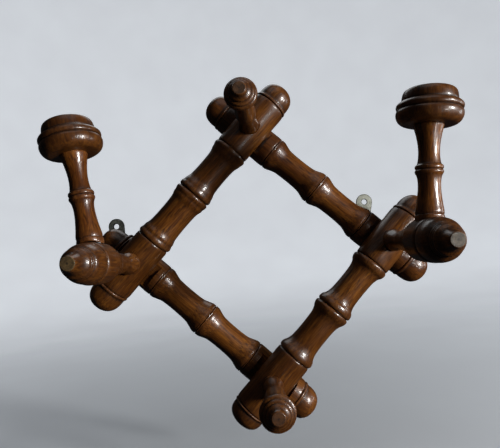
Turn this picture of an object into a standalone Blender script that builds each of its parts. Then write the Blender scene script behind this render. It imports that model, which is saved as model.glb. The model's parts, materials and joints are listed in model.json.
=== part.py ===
"""Wall coat and hat rack in turned wood, imitating bamboo.

Two parallel front bars lie over two parallel rear bars and cross them at four
corners.  A turned peg passes through both bars at each corner and is spread by
a wedge behind, so the lozenge folds on its four pegs.  The left and right pegs
carry an upright stem with a mushroom head for a hat.  Two steel plates on the
back of the rear bars hang the rack on the wall.

World axes: +X to the right, +Y into the wall, +Z up.  The wall is the plane
Y = 0 and the origin is the middle of the lozenge on that plane.
Lengths below are in millimetres and are scaled to metres by MM.
"""
import math

import bmesh
import bpy
from mathutils import Matrix, Vector

MM = 0.001

# Lozenge
SIDE = 189.0                 # crossing to crossing along a bar
LOZENGE_ANGLE = 90.5         # angle of the lozenge at its top corner, degrees
HALF_WIDTH = SIDE * math.sin(math.radians(LOZENGE_ANGLE / 2))
HALF_HEIGHT = SIDE * math.cos(math.radians(LOZENGE_ANGLE / 2))
REAR_AXIS_Y = -20.0          # axis of the rear bars
FRONT_AXIS_Y = -45.5         # axis of the front bars
LAP_Y = (REAR_AXIS_Y + FRONT_AXIS_Y) / 2
LAP_GAP = 0.3                # gap between the two flats of a crossing

# Turned bars: nodes measured along the bar from its first crossing
FRONT_UPPER_NODES = (-32.0, 31.0, 96.0, 158.0, 222.0)
FRONT_LOWER_NODES = (-34.0, 34.0, 96.5, 159.5, 220.5)
REAR_UPPER_NODES = (-34.0, 32.2, 95.3, 158.5, 219.5)
REAR_LOWER_NODES = (-25.5, 30.5, 95.0, 158.0, 221.5)
FRONT_UPPER_DOMES = (26.0, 23.5)    # near and far node to the tip of the bar
FRONT_LOWER_DOMES = (18.5, 25.5)
REAR_UPPER_DOMES = (25.0, 26.5)
REAR_LOWER_DOMES = (26.0, 24.0)
REAR_LOWER_GIRTHS = (0.87, 1.0)    # the left dome is slimmer than the others
GROOVE_RADIUS = 17.3
BARREL_RADIUS = 18.9
FRONT_UPPER_WAISTS = (16.1, 15.7)    # lower and upper slender length of a bar
FRONT_LOWER_WAISTS = (14.7, 14.3)
REAR_UPPER_WAISTS = (14.4, 14.4)
REAR_LOWER_WAISTS = (14.5, 14.4)
FRONT_RIDGE_RADIUS = 19.5
REAR_RIDGE_RADIUS = 18.7
BAR_STEPS = 18
LAP_HALF_LENGTH = 21.3       # half the length of the flat at a crossing

# Pegs, heights measured along the peg from the front bars' axis
TENON_RADIUS = 6.2
HOLE_RADIUS = 6.5
SHOULDER = 15.3
COUNTERBORE_RADIUS = 11.4
COLLAR_RADIUS = 10.9
TENON_END = -43.0
FLARE_START = -36.0
FLARE_RADIUS = 8.0
PEG_STEPS = 16
KERF_WIDTH = 2.6
KERF_DEPTH = 12.0
TOP_PEG_LEAN = 4.7           # lean of a shank to the left, degrees
SIDE_PEG_LEAN = 0.8
TOP_PEG_DROOP = -0.5         # droop of a shank, degrees
LEFT_PEG_DROOP = -0.3
RIGHT_PEG_DROOP = 2.6
TOP_PEG_LENGTH = 113.0
BOTTOM_PEG_LENGTH = 107.5
LEFT_PEG_SCALE = 0.97        # thickness of the drum, beads and bulb
RIGHT_PEG_SCALE = 1.03
LEFT_BULB_RADIUS = 16.4      # before scaling
RIGHT_BULB_RADIUS = 17.0
TOP_KNOB_RADIUS = 14.6
BOTTOM_KNOB_RADIUS = 15.4

# Hat stems and heads
DRUM_RADIUS = 17.4
STEM_HEIGHT = 111.0          # of the stem's axis along the side peg
STEM_SOCKET_RADIUS = 5.3
STEM_TENON_RADIUS = 5.0
STEM_FOOT = 18.3             # foot of the stem above the peg's axis
STEM_TOP = 91.9
LEFT_STEM_LEAN = -8.1        # to the right, degrees
RIGHT_STEM_LEAN = 4.8
LEFT_STEM_PITCH = 1.2        # towards the wall, degrees
RIGHT_STEM_PITCH = -2.0
LEFT_STEM_SCALE = 0.97       # thickness of the stem
RIGHT_STEM_SCALE = 1.03
HEAD_UNDERSIDE = 92.2
HEAD_HEIGHT = 28.6
LEFT_HEAD_SCALE = 0.99
RIGHT_HEAD_SCALE = 1.01

# Hanger plates
PLATE_THICKNESS = 2.0
PLATE_RADIUS = 9.1
PLATE_LENGTH = 40.0          # hanging hole to the centre of the lower end
PLATE_END_RADIUS = 7.5
HANGING_HOLE_RADIUS = 3.1
PLATE_SEAT_Y = -2.3
PLATE_SCREWS = (20.0, 36.0)  # below the hanging hole
LEFT_PLATE = (-163.5, 45.5)
RIGHT_PLATE = (125.0, 48.5)
LEFT_PLATE_LEAN = -4.0
RIGHT_PLATE_LEAN = 11.5
SCREW_LENGTH = 15.0

TOP = (0.0, HALF_HEIGHT)
BOTTOM = (0.0, -HALF_HEIGHT)
LEFT = (-HALF_WIDTH, 0.0)
RIGHT = (HALF_WIDTH, 0.0)


def clear_scene():
    for obj in list(bpy.data.objects):
        bpy.data.objects.remove(obj, do_unlink=True)


def new_collection(name):
    collection = bpy.data.collections.new(name)
    bpy.context.scene.collection.children.link(collection)
    return collection


def new_material(name, colour, roughness, metallic=0.0):
    material = bpy.data.materials.new(name)
    material.use_nodes = True
    shader = material.node_tree.nodes["Principled BSDF"]
    shader.inputs["Base Color"].default_value = (*colour, 1.0)
    shader.inputs["Roughness"].default_value = roughness
    shader.inputs["Metallic"].default_value = metallic
    material.diffuse_color = (*colour, 1.0)
    return material


clear_scene()
RACK = new_collection("wall_hat_and_coat_rack")
CUTTERS = new_collection("cutters")


def place(obj, matrix):
    obj.location = matrix.to_translation()
    obj.rotation_euler = matrix.to_euler()


def add_object(name, mesh, material, collection=None):
    obj = bpy.data.objects.new(name, mesh)
    (collection or RACK).objects.link(obj)
    if material is not None:
        obj.data.materials.append(material)
    return obj


def add_cutter(name, mesh):
    obj = add_object(name, mesh, None, CUTTERS)
    obj.hide_render = True
    obj.display_type = "WIRE"
    return obj


def boolean(obj, tool, operation="DIFFERENCE"):
    modifier = obj.modifiers.new(tool.name, "BOOLEAN")
    modifier.operation = operation
    modifier.solver = "EXACT"
    modifier.object = tool


def profile_mesh(name, profile):
    """Outline of a turned piece: (radius, height) pairs from the top down."""
    mesh = bpy.data.meshes.new(name)
    points = [(radius * MM, 0.0, height * MM) for radius, height in profile]
    edges = [(i, i + 1) for i in range(len(points) - 1)]
    mesh.from_pydata(points, edges, [])
    return mesh


def turn(obj, steps):
    modifier = obj.modifiers.new("turning", "SCREW")
    modifier.axis = "Z"
    modifier.angle = 2 * math.pi
    modifier.steps = steps
    modifier.render_steps = steps
    modifier.use_merge_vertices = True
    modifier.merge_threshold = 0.00005
    modifier.use_smooth_shade = True


def turned(name, profile, steps, material):
    obj = add_object(name, profile_mesh(name, profile), material)
    turn(obj, steps)
    return obj


def turned_cutter(name, profile, steps):
    obj = add_cutter(name, profile_mesh(name, profile))
    turn(obj, steps)
    return obj


def box_mesh(name, low, high):
    """Box between two corners given in millimetres."""
    mesh = bpy.data.meshes.new(name)
    bm = bmesh.new()
    bmesh.ops.create_cube(bm, size=1.0)
    size = [(high[i] - low[i]) * MM for i in range(3)]
    centre = [(high[i] + low[i]) / 2 * MM for i in range(3)]
    bmesh.ops.scale(bm, vec=size, verts=bm.verts)
    bmesh.ops.translate(bm, vec=centre, verts=bm.verts)
    bm.to_mesh(mesh)
    bm.free()
    return mesh


def dome_outline(node, length, direction, girth):
    """Rounded end of a bar beyond its last node, from the node outwards."""
    k = length / 26.0
    bead = ((18.5, 0.9), (18.7, 2.1))
    cap = ((17.6, 4.0), (17.5, 9.0), (17.0, 13.2), (15.9, 17.0),
           (13.4, 20.9), (9.6, 23.9), (5.0, 25.5), (0.0, 26.0))
    points = bead + tuple((radius * girth, height) for radius, height in cap)
    return [(radius, node + direction * height * k) for radius, height in points]


def waist_outline(upper, lower, ridge, waist):
    """Slender length between two nodes, from the upper node down."""
    flare = ((ridge - 0.6, 0.9), (ridge, 2.7), (ridge - 0.3, 4.8), (ridge - 1.0, 6.9),
             (waist + 2.3, 9.6), (waist + 0.8, 14.5), (waist + 0.3, 19.5))
    outline = [(radius, upper - step) for radius, step in flare]
    outline.append((waist, (upper + lower) / 2))
    outline += [(radius, lower + step) for radius, step in reversed(flare)]
    return outline


def barrel_outline(upper, lower):
    """Stout length between two nodes, where the bars cross, from the top down."""
    third = (upper - lower) / 3
    return [(BARREL_RADIUS - 0.4, upper - 1.1), (BARREL_RADIUS, upper - third),
            (BARREL_RADIUS, lower + third), (BARREL_RADIUS - 0.4, lower + 1.1)]


def bar_profile(nodes, domes, ridge, waists, girths):
    """Outline of a bar from its far tip down to its near tip."""
    near, second, third, fourth, far = nodes
    outline = list(reversed(dome_outline(far, domes[1], 1.0, girths[1])))
    outline.append((GROOVE_RADIUS, far))
    outline += barrel_outline(far, fourth)
    outline.append((GROOVE_RADIUS, fourth))
    outline += waist_outline(fourth, third, ridge, waists[1])
    outline.append((GROOVE_RADIUS, third))
    outline += waist_outline(third, second, ridge, waists[0])
    outline.append((GROOVE_RADIUS, second))
    outline += barrel_outline(second, near)
    outline.append((GROOVE_RADIUS, near))
    outline += dome_outline(near, domes[0], -1.0, girths[0])
    return outline


def add_bar(name, start, start_distance, nodes, domes, ridge, waists, axis_y, tilt, material,
            girths=(1.0, 1.0)):
    """Bar whose origin sits on the crossing that it hinges on."""
    shifted = [node - start_distance for node in nodes]
    obj = turned(name, bar_profile(shifted, domes, ridge, waists, girths), BAR_STEPS, material)
    matrix = Matrix.Translation(Vector((start[0], axis_y, start[1])) * MM)
    matrix = matrix @ Matrix.Rotation(math.radians(tilt), 4, "Y")
    place(obj, matrix)
    # flats where this bar lies against the other pair
    sign = 1.0 if axis_y == FRONT_AXIS_Y else -1.0
    flat = sign * (abs(LAP_Y - axis_y) - LAP_GAP / 2)
    for crossing in (0.0, SIDE):
        middle = crossing - start_distance
        low = (-25.0, min(flat, sign * 25.0), middle - LAP_HALF_LENGTH)
        high = (25.0, max(flat, sign * 25.0), middle + LAP_HALF_LENGTH)
        cutter = add_cutter(name + "_lap_flat", box_mesh(name + "_lap_flat", low, high))
        cutter.parent = obj
        boolean(obj, cutter)
    return obj


def peg_frame(corner, turn_angle=0.0):
    """Frame of a peg: Z out of the wall, Y up, turned about the peg's axis."""
    matrix = Matrix.Translation(Vector((corner[0], FRONT_AXIS_Y, corner[1])) * MM)
    matrix = matrix @ Matrix.Rotation(math.radians(turn_angle), 4, "Y")
    return matrix @ Matrix.Rotation(math.radians(90.0), 4, "X")


def shank_frame(frame, lean, droop):
    """The shank above the shoulder, bent left by lean and down by droop."""
    bend = Matrix.Rotation(math.radians(droop), 4, "X")
    bend = bend @ Matrix.Rotation(math.radians(-lean), 4, "Z")
    centre = frame @ Matrix.Translation((0.0, 0.0, SHOULDER * MM))
    place_matrix = Matrix.Translation(centre.to_translation())
    turned_part = bend @ frame.to_3x3().to_4x4()
    return place_matrix @ turned_part @ Matrix.Translation((0.0, 0.0, -SHOULDER * MM))


def side_shank_profile(scale, bulb):
    """Side peg: tapering neck, drum under the hat stem, bulb, beads and bell."""
    head = (
        (5.2, 161.4), (5.9, 160.4), (7.0, 155.8), (7.9, 153.0), (9.7, 150.4), (11.4, 148.8),
        (11.7, 147.4), (10.9, 146.3), (12.0, 145.4), (11.4, 144.1), (12.7, 143.1),
        (12.2, 142.0), (14.3, 139.9), (bulb - 1.2, 137.4), (bulb - 0.5, 134.6),
        (bulb, 130.4), (bulb, 127.0), (bulb - 1.2, 124.7), (17.0, 123.6),
        (DRUM_RADIUS, 121.0), (DRUM_RADIUS, 100.5), (16.5, 95.6), (14.3, 85.6),
        (13.5, 80.7), (12.8, 79.6),
    )
    neck = (
        (11.7, 72.0), (10.6, 65.0), (9.9, 58.0), (9.8, 51.8), (8.8, 49.2), (7.4, 41.0),
        (7.2, 36.5), (7.8, 32.0), (9.2, 27.6), (10.5, 24.0), (11.0, 20.6),
        (10.7, 16.4), (0.0, 16.4),
    )
    return [(0.0, 161.4)] + [(radius * scale, height) for radius, height in head] + list(neck)


def plain_shank_profile(knob, tip):
    """Top or bottom peg: stepped knob, neck with a low swelling, flared foot."""
    return (
        (0.0, tip), (5.3, tip), (6.1, tip - 0.9), (7.0, tip - 3.3), (9.3, tip - 5.2),
        (9.7, tip - 6.2), (9.3, tip - 7.0), (11.8, tip - 7.9), (12.4, tip - 9.1),
        (12.0, tip - 10.0), (knob - 0.5, tip - 11.2), (knob, tip - 13.2),
        (knob - 0.9, tip - 17.2), (12.3, tip - 20.0), (10.7, tip - 22.8),
        (9.6, tip - 26.4), (9.2, tip - 32.0), (9.3, 66.0), (9.8, 58.0), (10.0, 52.4),
        (9.4, 48.8), (8.4, 44.8), (8.1, 39.0), (8.3, 33.5), (9.1, 28.0),
        (9.9, 23.4), (10.2, 19.0), (10.2, 16.4), (0.0, 16.4),
    )


def tenon_profile():
    """Tenon through both bars, with the collar that rests on the front bar."""
    return (
        (0.0, 17.6), (COLLAR_RADIUS - 0.5, 17.6), (COLLAR_RADIUS, 17.0),
        (COLLAR_RADIUS, SHOULDER), (TENON_RADIUS, SHOULDER),
        (TENON_RADIUS, FLARE_START), (FLARE_RADIUS, TENON_END), (0.0, TENON_END),
    )


def hole_profile():
    """Hole for a peg through both bars, counterbored in front, flared behind."""
    slope = (FLARE_RADIUS - TENON_RADIUS) / (FLARE_START - TENON_END)
    return (
        (0.0, 30.0), (COUNTERBORE_RADIUS, 30.0), (COUNTERBORE_RADIUS, SHOULDER - 0.3),
        (HOLE_RADIUS, SHOULDER - 0.3), (HOLE_RADIUS, FLARE_START),
        (HOLE_RADIUS + slope * 11.0, FLARE_START - 11.0), (0.0, FLARE_START - 11.0),
    )


def add_peg(name, corner, profile, material, wedge_material,
            turn_angle=0.0, lean=0.0, droop=0.0):
    """Peg with its wedge; returns the peg, its wedge and the shank's frame."""
    frame = peg_frame(corner, turn_angle)
    peg = turned(name, tenon_profile(), PEG_STEPS, material)
    place(peg, frame)
    shank = turned_cutter(name + "_shank", profile, PEG_STEPS)
    shank_matrix = shank_frame(frame, lean, droop)
    place(shank, shank_matrix)
    boolean(peg, shank, "UNION")
    half = KERF_WIDTH / 2
    kerf_low = (-half, -12.0, TENON_END - 2.0)
    kerf_high = (half, 12.0, TENON_END + KERF_DEPTH)
    kerf = add_cutter(name + "_kerf", box_mesh(name + "_kerf", kerf_low, kerf_high))
    kerf.parent = peg
    boolean(peg, kerf)
    wedge = add_object(name + "_wedge", wedge_mesh(name + "_wedge"), wedge_material)
    place(wedge, frame)
    return peg, wedge, shank_matrix


def wedge_mesh(name):
    """Thin wedge that fills the saw cut at the end of a tenon."""
    mesh = bpy.data.meshes.new(name)
    outer = TENON_END + 0.2
    inner = TENON_END + KERF_DEPTH - 0.6
    thick = KERF_WIDTH / 2 - 0.3
    thin = 0.5
    half = 5.6
    points = []
    for height, depth in ((outer, thick), (inner, thin)):
        points += [(-depth, -half, height), (depth, -half, height),
                   (depth, half, height), (-depth, half, height)]
    faces = [(0, 3, 2, 1), (4, 5, 6, 7), (0, 1, 5, 4),
             (1, 2, 6, 5), (2, 3, 7, 6), (3, 0, 4, 7)]
    mesh.from_pydata([Vector(p) * MM for p in points], [], faces)
    return mesh


def stem_frame(shank_matrix, pitch):
    """Frame of a hat stem: origin on the peg's axis, Z along the stem."""
    matrix = shank_matrix @ Matrix.Translation((0.0, 0.0, STEM_HEIGHT * MM))
    return matrix @ Matrix.Rotation(math.radians(-90.0 - pitch), 4, "X")


def stem_profile(scale):
    """Stem in two bamboo joints, with a tenon at each end."""
    outer = (
        (10.0, STEM_TOP), (10.2, 90.8), (9.0, 84.5), (7.9, 77.5), (7.4, 70.5),
        (7.7, 64.5), (9.0, 60.0), (10.4, 58.9), (10.4, 57.0), (9.7, 56.0),
        (10.5, 54.8), (10.4, 53.2), (9.4, 51.7), (8.1, 46.0), (8.0, 41.0),
        (8.5, 34.0), (9.5, 27.0), (10.2, 22.6), (10.5, 20.6), (10.3, STEM_FOOT),
    )
    outline = [(0.0, 106.5), (STEM_TENON_RADIUS - 0.6, 106.5),
               (STEM_TENON_RADIUS, 105.8), (STEM_TENON_RADIUS, STEM_TOP)]
    outline += [(radius * scale, height) for radius, height in outer]
    outline += [(STEM_TENON_RADIUS, STEM_FOOT), (STEM_TENON_RADIUS, 5.8), (0.0, 5.8)]
    return outline


def head_profile(scale):
    """Mushroom head: upper drum, bead, large torus and flat underside."""
    base = HEAD_UNDERSIDE
    outer = (
        (14.0, HEAD_HEIGHT), (17.8, 27.8), (19.8, 26.1), (20.8, 23.4), (21.1, 20.0),
        (23.3, 18.7), (24.8, 17.1), (25.3, 15.0), (24.7, 13.4), (23.9, 12.7),
        (24.9, 11.4), (25.4, 8.6), (24.9, 5.7), (23.3, 2.6), (20.4, 0.4), (18.6, 0.0),
    )
    outline = [(0.0, base + HEAD_HEIGHT)]
    outline += [(radius * scale, base + height) for radius, height in outer]
    outline += [(STEM_SOCKET_RADIUS, base), (STEM_SOCKET_RADIUS, base + 14.8)]
    outline += [(0.0, base + 14.8)]
    return outline


def add_hat_rest(side, frame, stem_scale, head_scale, material, peg):
    """Stem and head, and the socket for the stem in the peg's drum."""
    socket = turned_cutter("hat_stem_%s_socket" % side,
                           ((0.0, 30.0), (STEM_SOCKET_RADIUS, 30.0),
                            (STEM_SOCKET_RADIUS, 5.4), (0.0, 5.4)), 16)
    place(socket, frame)
    boolean(peg, socket)
    stem = turned("hat_stem_" + side, stem_profile(stem_scale), 16, material)
    place(stem, frame)
    head = turned("hat_head_" + side, head_profile(head_scale), 20, material)
    place(head, frame)
    return stem, head


def plate_mesh(name, clearance=0.0, back=0.0, front=None):
    """Strap with a round lobe on top and a narrower round lower end."""
    mesh = bpy.data.meshes.new(name)
    bm = bmesh.new()
    front = -PLATE_THICKNESS if front is None else front
    outline = []
    for step in range(13):
        angle = math.radians(180.0 * step / 12)
        radius = PLATE_RADIUS + clearance
        outline.append((radius * math.cos(angle), radius * math.sin(angle)))
    for step in range(9):
        angle = math.radians(180.0 + 180.0 * step / 8)
        radius = PLATE_END_RADIUS + clearance
        outline.append((radius * math.cos(angle),
                        radius * math.sin(angle) - PLATE_LENGTH))
    front_ring = [bm.verts.new((x * MM, front * MM, z * MM)) for x, z in outline]
    back_ring = [bm.verts.new((x * MM, back * MM, z * MM)) for x, z in outline]
    bm.faces.new(front_ring)
    bm.faces.new(list(reversed(back_ring)))
    count = len(outline)
    for i in range(count):
        j = (i + 1) % count
        bm.faces.new((front_ring[j], front_ring[i], back_ring[i], back_ring[j]))
    bm.normal_update()
    bm.to_mesh(mesh)
    bm.free()
    return mesh


def along_wall(frame, distance):
    """Frame on the plate, distance below its hanging hole, Z out of the back."""
    matrix = frame @ Matrix.Translation((0.0, 0.0, -distance * MM))
    return matrix @ Matrix.Rotation(math.radians(-90.0), 4, "X")


def screw_profile():
    return (
        (0.0, -0.15), (3.4, -0.15), (3.3, -0.5), (1.7, -2.0), (1.5, -2.6),
        (1.5, -(SCREW_LENGTH - 3.0)), (0.0, -SCREW_LENGTH),
    )


def add_hanger(side, spot, lean, bar, plate_material, screw_material):
    """Hanger plate with its two screws, let into the back of a rear bar."""
    name = "hanger_plate_" + side
    frame = Matrix.Translation(Vector((spot[0], 0.0, spot[1])) * MM)
    frame = frame @ Matrix.Rotation(math.radians(lean), 4, "Y")
    plate = add_object(name, plate_mesh(name), plate_material)
    place(plate, frame)
    seat = add_cutter(name + "_seat", plate_mesh(name + "_seat", 0.4, 2.0, PLATE_SEAT_Y))
    place(seat, frame)
    boolean(bar, seat)
    hanging = turned_cutter(name + "_hanging_hole",
                            ((0.0, 3.0), (HANGING_HOLE_RADIUS, 3.0),
                             (HANGING_HOLE_RADIUS, -5.0), (0.0, -5.0)), 20)
    place(hanging, along_wall(frame, 0.0))
    boolean(plate, hanging)
    for number, distance in enumerate(PLATE_SCREWS, start=1):
        spot_frame = along_wall(frame, distance)
        countersink = turned_cutter("%s_countersink_%d" % (name, number),
                                    ((0.0, 1.0), (5.25, 1.0), (2.1, -2.0),
                                     (2.1, -5.0), (0.0, -5.0)), 12)
        place(countersink, spot_frame)
        boolean(plate, countersink)
        pilot = turned_cutter("%s_pilot_%d" % (name, number),
                              ((0.0, 1.0), (1.8, 1.0), (1.8, -SCREW_LENGTH - 0.4),
                               (0.0, -SCREW_LENGTH - 0.4)), 12)
        place(pilot, spot_frame)
        boolean(bar, pilot)
        screw_name = "hanger_screw_%s_%d" % (side, number)
        screw = turned(screw_name, screw_profile(), 12, screw_material)
        place(screw, spot_frame)
        slot = add_cutter(screw_name + "_slot",
                          box_mesh(screw_name + "_slot", (-5.0, -0.4, -0.75), (5.0, 0.4, 1.0)))
        place(slot, spot_frame @ Matrix.Rotation(math.radians(35.0 * number), 4, "Z"))
        boolean(screw, slot)
    return plate


def add_peg_hole(corner, front_bar, rear_bar):
    hole = turned_cutter("peg_hole", hole_profile(), PEG_STEPS)
    place(hole, peg_frame(corner))
    boolean(front_bar, hole)
    boolean(rear_bar, hole)


def build():
    bar_wood = new_material("varnished_wood_bars", (0.115, 0.045, 0.018), 0.28)
    peg_wood = new_material("varnished_wood_pegs", (0.105, 0.042, 0.020), 0.30)
    stem_wood = new_material("varnished_wood_stems", (0.160, 0.065, 0.024), 0.26)
    wedge_wood = new_material("plain_wood_wedges", (0.300, 0.190, 0.100), 0.70)
    plate_steel = new_material("tarnished_plate", (0.270, 0.280, 0.230), 0.50, 0.8)
    screw_steel = new_material("dull_screw_steel", (0.200, 0.200, 0.190), 0.45, 0.9)

    rise = LOZENGE_ANGLE / 2
    fall = 180.0 - LOZENGE_ANGLE / 2
    front_upper = add_bar("front_bar_upper", TOP, SIDE, FRONT_UPPER_NODES,
                          FRONT_UPPER_DOMES, FRONT_RIDGE_RADIUS, FRONT_UPPER_WAISTS,
                          FRONT_AXIS_Y, rise, bar_wood)
    front_lower = add_bar("front_bar_lower", RIGHT, SIDE, FRONT_LOWER_NODES,
                          FRONT_LOWER_DOMES, FRONT_RIDGE_RADIUS, FRONT_LOWER_WAISTS,
                          FRONT_AXIS_Y, rise, bar_wood)
    rear_upper = add_bar("rear_bar_upper", TOP, 0.0, REAR_UPPER_NODES,
                         REAR_UPPER_DOMES, REAR_RIDGE_RADIUS, REAR_UPPER_WAISTS,
                         REAR_AXIS_Y, fall, bar_wood)
    rear_lower = add_bar("rear_bar_lower", LEFT, 0.0, REAR_LOWER_NODES,
                         REAR_LOWER_DOMES, REAR_RIDGE_RADIUS, REAR_LOWER_WAISTS,
                         REAR_AXIS_Y, fall, bar_wood, REAR_LOWER_GIRTHS)

    add_peg_hole(TOP, front_upper, rear_upper)
    add_peg_hole(LEFT, front_upper, rear_lower)
    add_peg_hole(RIGHT, front_lower, rear_upper)
    add_peg_hole(BOTTOM, front_lower, rear_lower)

    add_peg("peg_top", TOP, plain_shank_profile(TOP_KNOB_RADIUS, TOP_PEG_LENGTH),
            peg_wood, wedge_wood, lean=TOP_PEG_LEAN, droop=TOP_PEG_DROOP)
    add_peg("peg_bottom", BOTTOM, plain_shank_profile(BOTTOM_KNOB_RADIUS, BOTTOM_PEG_LENGTH),
            peg_wood, wedge_wood)
    left_peg, _, left_shank = add_peg(
        "peg_left", LEFT, side_shank_profile(LEFT_PEG_SCALE, LEFT_BULB_RADIUS),
        peg_wood, wedge_wood,
        turn_angle=LEFT_STEM_LEAN, lean=SIDE_PEG_LEAN, droop=LEFT_PEG_DROOP)
    right_peg, _, right_shank = add_peg(
        "peg_right", RIGHT, side_shank_profile(RIGHT_PEG_SCALE, RIGHT_BULB_RADIUS),
        peg_wood, wedge_wood,
        turn_angle=RIGHT_STEM_LEAN, lean=SIDE_PEG_LEAN, droop=RIGHT_PEG_DROOP)
    add_hat_rest("left", stem_frame(left_shank, LEFT_STEM_PITCH), LEFT_STEM_SCALE,
                 LEFT_HEAD_SCALE, stem_wood, left_peg)
    add_hat_rest("right", stem_frame(right_shank, RIGHT_STEM_PITCH), RIGHT_STEM_SCALE,
                 RIGHT_HEAD_SCALE, stem_wood, right_peg)

    add_hanger("left", LEFT_PLATE, LEFT_PLATE_LEAN, rear_lower, plate_steel, screw_steel)
    add_hanger("right", RIGHT_PLATE, RIGHT_PLATE_LEAN, rear_upper, plate_steel, screw_steel)


build()
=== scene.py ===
"""Looks of the turned-wood wall coat and hat rack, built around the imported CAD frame."""
import json
import math

import bmesh
import bpy
import numpy as np
from mathutils import Matrix, Vector


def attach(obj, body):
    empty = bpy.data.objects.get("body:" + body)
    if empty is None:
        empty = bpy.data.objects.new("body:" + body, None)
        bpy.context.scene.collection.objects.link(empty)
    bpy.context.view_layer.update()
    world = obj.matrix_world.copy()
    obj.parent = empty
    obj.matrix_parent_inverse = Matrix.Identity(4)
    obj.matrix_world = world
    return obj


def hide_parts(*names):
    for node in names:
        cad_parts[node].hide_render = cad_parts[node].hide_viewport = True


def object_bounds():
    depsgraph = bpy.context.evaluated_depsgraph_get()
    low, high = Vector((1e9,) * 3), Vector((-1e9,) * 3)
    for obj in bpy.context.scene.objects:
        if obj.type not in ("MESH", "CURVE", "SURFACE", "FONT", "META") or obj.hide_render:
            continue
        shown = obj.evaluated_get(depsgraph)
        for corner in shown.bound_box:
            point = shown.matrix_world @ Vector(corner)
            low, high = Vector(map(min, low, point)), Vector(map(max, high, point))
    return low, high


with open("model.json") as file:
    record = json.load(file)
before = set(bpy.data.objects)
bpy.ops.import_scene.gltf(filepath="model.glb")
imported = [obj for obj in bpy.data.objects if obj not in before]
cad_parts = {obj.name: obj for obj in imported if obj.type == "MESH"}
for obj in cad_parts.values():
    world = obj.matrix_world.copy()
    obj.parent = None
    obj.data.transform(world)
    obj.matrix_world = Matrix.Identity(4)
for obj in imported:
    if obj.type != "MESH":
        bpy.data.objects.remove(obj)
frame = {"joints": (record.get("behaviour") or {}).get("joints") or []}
CAD_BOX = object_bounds()

MM = 0.001
TAU = 2 * math.pi
BAR_SEGMENTS = 72
PEG_SEGMENTS = 72
STEM_SEGMENTS = 64
HEAD_SEGMENTS = 96
SCREW_SEGMENTS = 40
# Lengths below are in millimetres.
REAR_AXIS_Y = -20.0            # depth of the rear bars' axes
GROOVE_RADIUS = 17.3           # bottom of a bar's grooves
LAP_CLEARANCE = 0.15           # from a lap flat to the plane between the bars
TOOL_REACH = 26                # half width of a lap cutter, beyond the bar's surface
SHOULDER = 15.3                # a peg's shoulder before the front bars' axis
SIDE_TIP = 161.4               # tip of a side peg along its axis
DRUM_RADIUS = 17.5             # of a side peg under its stem
STEM_HEIGHT = 111.0            # of a stem's axis along its side peg
STEM_FOOT = 18.3               # foot of a stem above the peg's axis
STEM_SINK = 0.75               # how far a stem's foot sinks into the drum
HEAD_BASE = 92.2               # underside of a hat head along the stem
HEAD_SEAT = 91.6               # where a head tilts on its stem
HEAD_SINK = 0.4                # how far a head sinks onto its stem
SCREW_PLACES = (20.0, 36.0)    # screws below the hanging hole of a plate

# ------------------------------------------------------------------ places
JOINT = {joint["name"]: Vector(joint["pos_m"]) for joint in frame["joints"]}
TOP = JOINT["fold"]
LEFT = JOINT["left_corner"]
RIGHT = JOINT["right_corner"]
BOTTOM = LEFT + RIGHT - TOP
FRONT_AXIS_Y = TOP.y / MM
SIDE = (TOP - LEFT).length / MM
LAP_Y = (FRONT_AXIS_Y + REAR_AXIS_Y) / 2


def bar_matrix(start, end, axis_y):
    """Frame on a bar's axis at its first crossing, Z towards the second."""
    way = end - start
    matrix = Matrix.Translation(Vector((start.x, axis_y * MM, start.z)))
    return matrix @ Matrix.Rotation(math.atan2(way.x, way.z), 4, "Y")


def peg_matrix(corner, turn):
    """Frame of a peg at a corner, Z out of the wall, turned about its own axis."""
    matrix = Matrix.Translation(corner) @ Matrix.Rotation(math.radians(turn), 4, "Y")
    return matrix @ Matrix.Rotation(math.radians(90.0), 4, "X")


def shank_matrix(peg, lean, droop):
    """Frame of a peg's shank, which leans sideways and droops from its shoulder."""
    bend = Matrix.Rotation(math.radians(droop), 4, "X")
    bend = bend @ Matrix.Rotation(math.radians(-lean), 4, "Z")
    centre = Matrix.Translation((peg @ Matrix.Translation((0, 0, SHOULDER * MM))).to_translation())
    return centre @ bend @ peg.to_3x3().to_4x4() @ Matrix.Translation((0, 0, -SHOULDER * MM))


def stem_matrix(shank, pitch):
    """Frame of a hat stem: origin on the side peg's axis, Z along the stem."""
    matrix = shank @ Matrix.Translation((0, 0, STEM_HEIGHT * MM))
    return matrix @ Matrix.Rotation(math.radians(-90.0 - pitch), 4, "X")


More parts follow.
